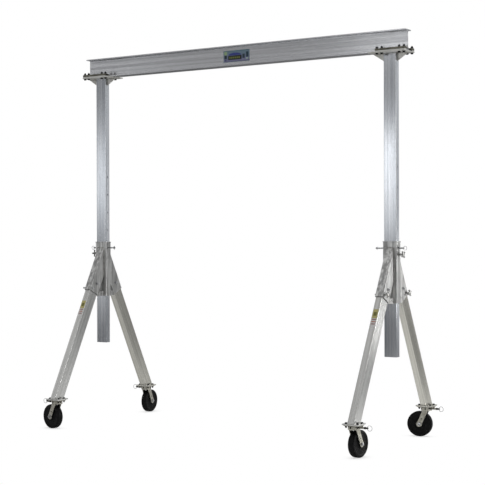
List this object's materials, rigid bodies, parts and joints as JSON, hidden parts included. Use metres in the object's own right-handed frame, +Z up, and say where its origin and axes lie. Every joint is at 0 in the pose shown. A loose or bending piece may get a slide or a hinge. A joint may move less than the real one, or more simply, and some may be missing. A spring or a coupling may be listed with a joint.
{
  "type": "portable gantry crane",
  "caption": "Portable gantry crane: an I-beam carried by two height-adjustable A-frames on lockable swivel casters.",
  "frame": {"origin": "on the floor, under the middle of the beam, in the plane of the two masts", "axes": "+X along the beam, +Z up, the labelled front towards -Y"},
  "size_m": [3.0744, 1.4362, 3.1254],
  "materials": {
    "beam_aluminium": "mill finish",
    "mast_aluminium": "mill finish",
    "leg_aluminium": "mill finish",
    "cast_aluminium": "mill finish, welded",
    "plate_aluminium": "mill finish plate",
    "zinc_steel": "zinc plated",
    "plated_steel": "bright zinc plated",
    "black_bolts": "black oxide",
    "black_wheel": "moulded, satin",
    "rating_label": "printed film",
    "warning_label": "printed film"
  },
  "bodies": {
    "upper": {"beam": "beam_aluminium", "beam_label": "rating_label", "left_mast": "mast_aluminium", "right_mast": "mast_aluminium", "left_saddle": "plate_aluminium", "right_saddle": "plate_aluminium", "left_clamp_bars": "plate_aluminium", "right_clamp_bars": "plate_aluminium", "clamp_bolts": "black_bolts"},
    "left_frame": {"left_head": "cast_aluminium", "left_front_leg": "leg_aluminium", "left_rear_leg": "leg_aluminium", "left_leg_bolts": "black_bolts", "left_leg_label": "warning_label", "left_foot_bolts": "black_bolts", "left_front_caster_plate": "zinc_steel", "left_rear_caster_plate": "zinc_steel"},
    "left_pin": {"left_height_pin": "plated_steel"},
    "left_keeper": {"left_pin_keeper": "plated_steel"},
    "left_knob": {"left_clamp_knob": "plated_steel"},
    "left_front_pin": {"left_front_leg_pin": "plated_steel"},
    "left_front_caster": {"left_front_fork": "zinc_steel", "left_front_axle": "plated_steel"},
    "left_front_roller": {"left_front_wheel": "black_wheel"},
    "left_front_lock": {"left_front_swivel_lock": "plated_steel"},
    "left_rear_pin": {"left_rear_leg_pin": "plated_steel"},
    "left_rear_caster": {"left_rear_fork": "zinc_steel", "left_rear_axle": "plated_steel"},
    "left_rear_roller": {"left_rear_wheel": "black_wheel"},
    "left_rear_lock": {"left_rear_swivel_lock": "plated_steel"},
    "right_frame": {"right_head": "cast_aluminium", "right_front_leg": "leg_aluminium", "right_rear_leg": "leg_aluminium", "right_leg_bolts": "black_bolts", "right_leg_label": "warning_label", "right_foot_bolts": "black_bolts", "right_front_caster_plate": "zinc_steel", "right_rear_caster_plate": "zinc_steel"},
    "right_pin": {"right_height_pin": "plated_steel"},
    "right_keeper": {"right_pin_keeper": "plated_steel"},
    "right_knob": {"right_clamp_knob": "plated_steel"},
    "right_front_pin": {"right_front_leg_pin": "plated_steel"},
    "right_front_caster": {"right_front_fork": "zinc_steel", "right_front_axle": "plated_steel"},
    "right_front_roller": {"right_front_wheel": "black_wheel"},
    "right_front_lock": {"right_front_swivel_lock": "plated_steel"},
    "right_rear_pin": {"right_rear_leg_pin": "plated_steel"},
    "right_rear_caster": {"right_rear_fork": "zinc_steel", "right_rear_axle": "plated_steel"},
    "right_rear_roller": {"right_rear_wheel": "black_wheel"},
    "right_rear_lock": {"right_rear_swivel_lock": "plated_steel"}
  },
  "joints": [
    {"name": "left_height", "type": "slide", "parent": "upper", "child": "left_frame", "axis": [0, 0, 1], "range_m": [-0.3048, 0.6096]},
    {"name": "left_height_pin_pull", "type": "slide", "parent": "left_frame", "child": "left_pin", "axis": [-1, 0, 0], "range_m": [0, 0.195]},
    {"name": "left_keeper_pull", "type": "slide", "parent": "left_frame", "child": "left_keeper", "axis": [1, 0, 0], "range_m": [0, 0.03]},
    {"name": "left_knob_turn", "type": "hinge", "parent": "left_frame", "child": "left_knob", "pos_m": [-1.485, 0, 1.44535], "axis": [-1, 0, 0], "range_deg": [-90, 540]},
    {"name": "left_front_leg_pin_pull", "type": "slide", "parent": "left_frame", "child": "left_front_pin", "axis": [-1, 0, 0], "range_m": [0, 0.085]},
    {"name": "left_front_swivel", "type": "hinge", "parent": "left_frame", "child": "left_front_caster", "pos_m": [-1.385, -0.61, 0.2], "axis": [0, 0, 1], "continuous": true},
    {"name": "left_front_roll", "type": "hinge", "parent": "left_front_caster", "child": "left_front_roller", "pos_m": [-1.43633, -0.60169, 0.1], "axis": [-0.1599, -0.9871, 0], "continuous": true},
    {"name": "left_front_lock_pull", "type": "slide", "parent": "left_frame", "child": "left_front_lock", "axis": [-1, 0, 0], "range_m": [0, 0.008], "stiffness_N_per_m": 800, "springref_m": -0.01},
    {"name": "left_rear_leg_pin_pull", "type": "slide", "parent": "left_frame", "child": "left_rear_pin", "axis": [-1, 0, 0], "range_m": [0, 0.085]},
    {"name": "left_rear_swivel", "type": "hinge", "parent": "left_frame", "child": "left_rear_caster", "pos_m": [-1.385, 0.61, 0.2], "axis": [0, 0, 1], "continuous": true},
    {"name": "left_rear_roll", "type": "hinge", "parent": "left_rear_caster", "child": "left_rear_roller", "pos_m": [-1.38836, 0.66189, 0.1], "axis": [-0.9979, -0.0645, 0], "continuous": true},
    {"name": "left_rear_lock_pull", "type": "slide", "parent": "left_frame", "child": "left_rear_lock", "axis": [-1, 0, 0], "range_m": [0, 0.008], "stiffness_N_per_m": 800, "springref_m": -0.01},
    {"name": "right_height", "type": "slide", "parent": "upper", "child": "right_frame", "axis": [0, 0, 1], "range_m": [-0.3048, 0.6096]},
    {"name": "right_height_pin_pull", "type": "slide", "parent": "right_frame", "child": "right_pin", "axis": [1, 0, 0], "range_m": [0, 0.195]},
    {"name": "right_keeper_pull", "type": "slide", "parent": "right_frame", "child": "right_keeper", "axis": [-1, 0, 0], "range_m": [0, 0.03]},
    {"name": "right_knob_turn", "type": "hinge", "parent": "right_frame", "child": "right_knob", "pos_m": [1.485, 0, 1.44535], "axis": [1, 0, 0], "range_deg": [-90, 540]},
    {"name": "right_front_leg_pin_pull", "type": "slide", "parent": "right_frame", "child": "right_front_pin", "axis": [1, 0, 0], "range_m": [0, 0.085]},
    {"name": "right_front_swivel", "type": "hinge", "parent": "right_frame", "child": "right_front_caster", "pos_m": [1.385, -0.61, 0.2], "axis": [0, 0, 1], "continuous": true},
    {"name": "right_front_roll", "type": "hinge", "parent": "right_front_caster", "child": "right_front_roller", "pos_m": [1.39044, -0.55829, 0.1], "axis": [-0.9945, 0.1045, 0], "continuous": true},
    {"name": "right_front_lock_pull", "type": "slide", "parent": "right_frame", "child": "right_front_lock", "axis": [1, 0, 0], "range_m": [0, 0.008], "stiffness_N_per_m": 800, "springref_m": -0.01},
    {"name": "right_rear_leg_pin_pull", "type": "slide", "parent": "right_frame", "child": "right_rear_pin", "axis": [1, 0, 0], "range_m": [0, 0.085]},
    {"name": "right_rear_swivel", "type": "hinge", "parent": "right_frame", "child": "right_rear_caster", "pos_m": [1.385, 0.61, 0.2], "axis": [0, 0, 1], "continuous": true},
    {"name": "right_rear_roll", "type": "hinge", "parent": "right_rear_caster", "child": "right_rear_roller", "pos_m": [1.33414, 0.59919, 0.1], "axis": [0.2079, -0.9781, 0], "continuous": true},
    {"name": "right_rear_lock_pull", "type": "slide", "parent": "right_frame", "child": "right_rear_lock", "axis": [1, 0, 0], "range_m": [0, 0.008], "stiffness_N_per_m": 800, "springref_m": -0.01}
  ]
}
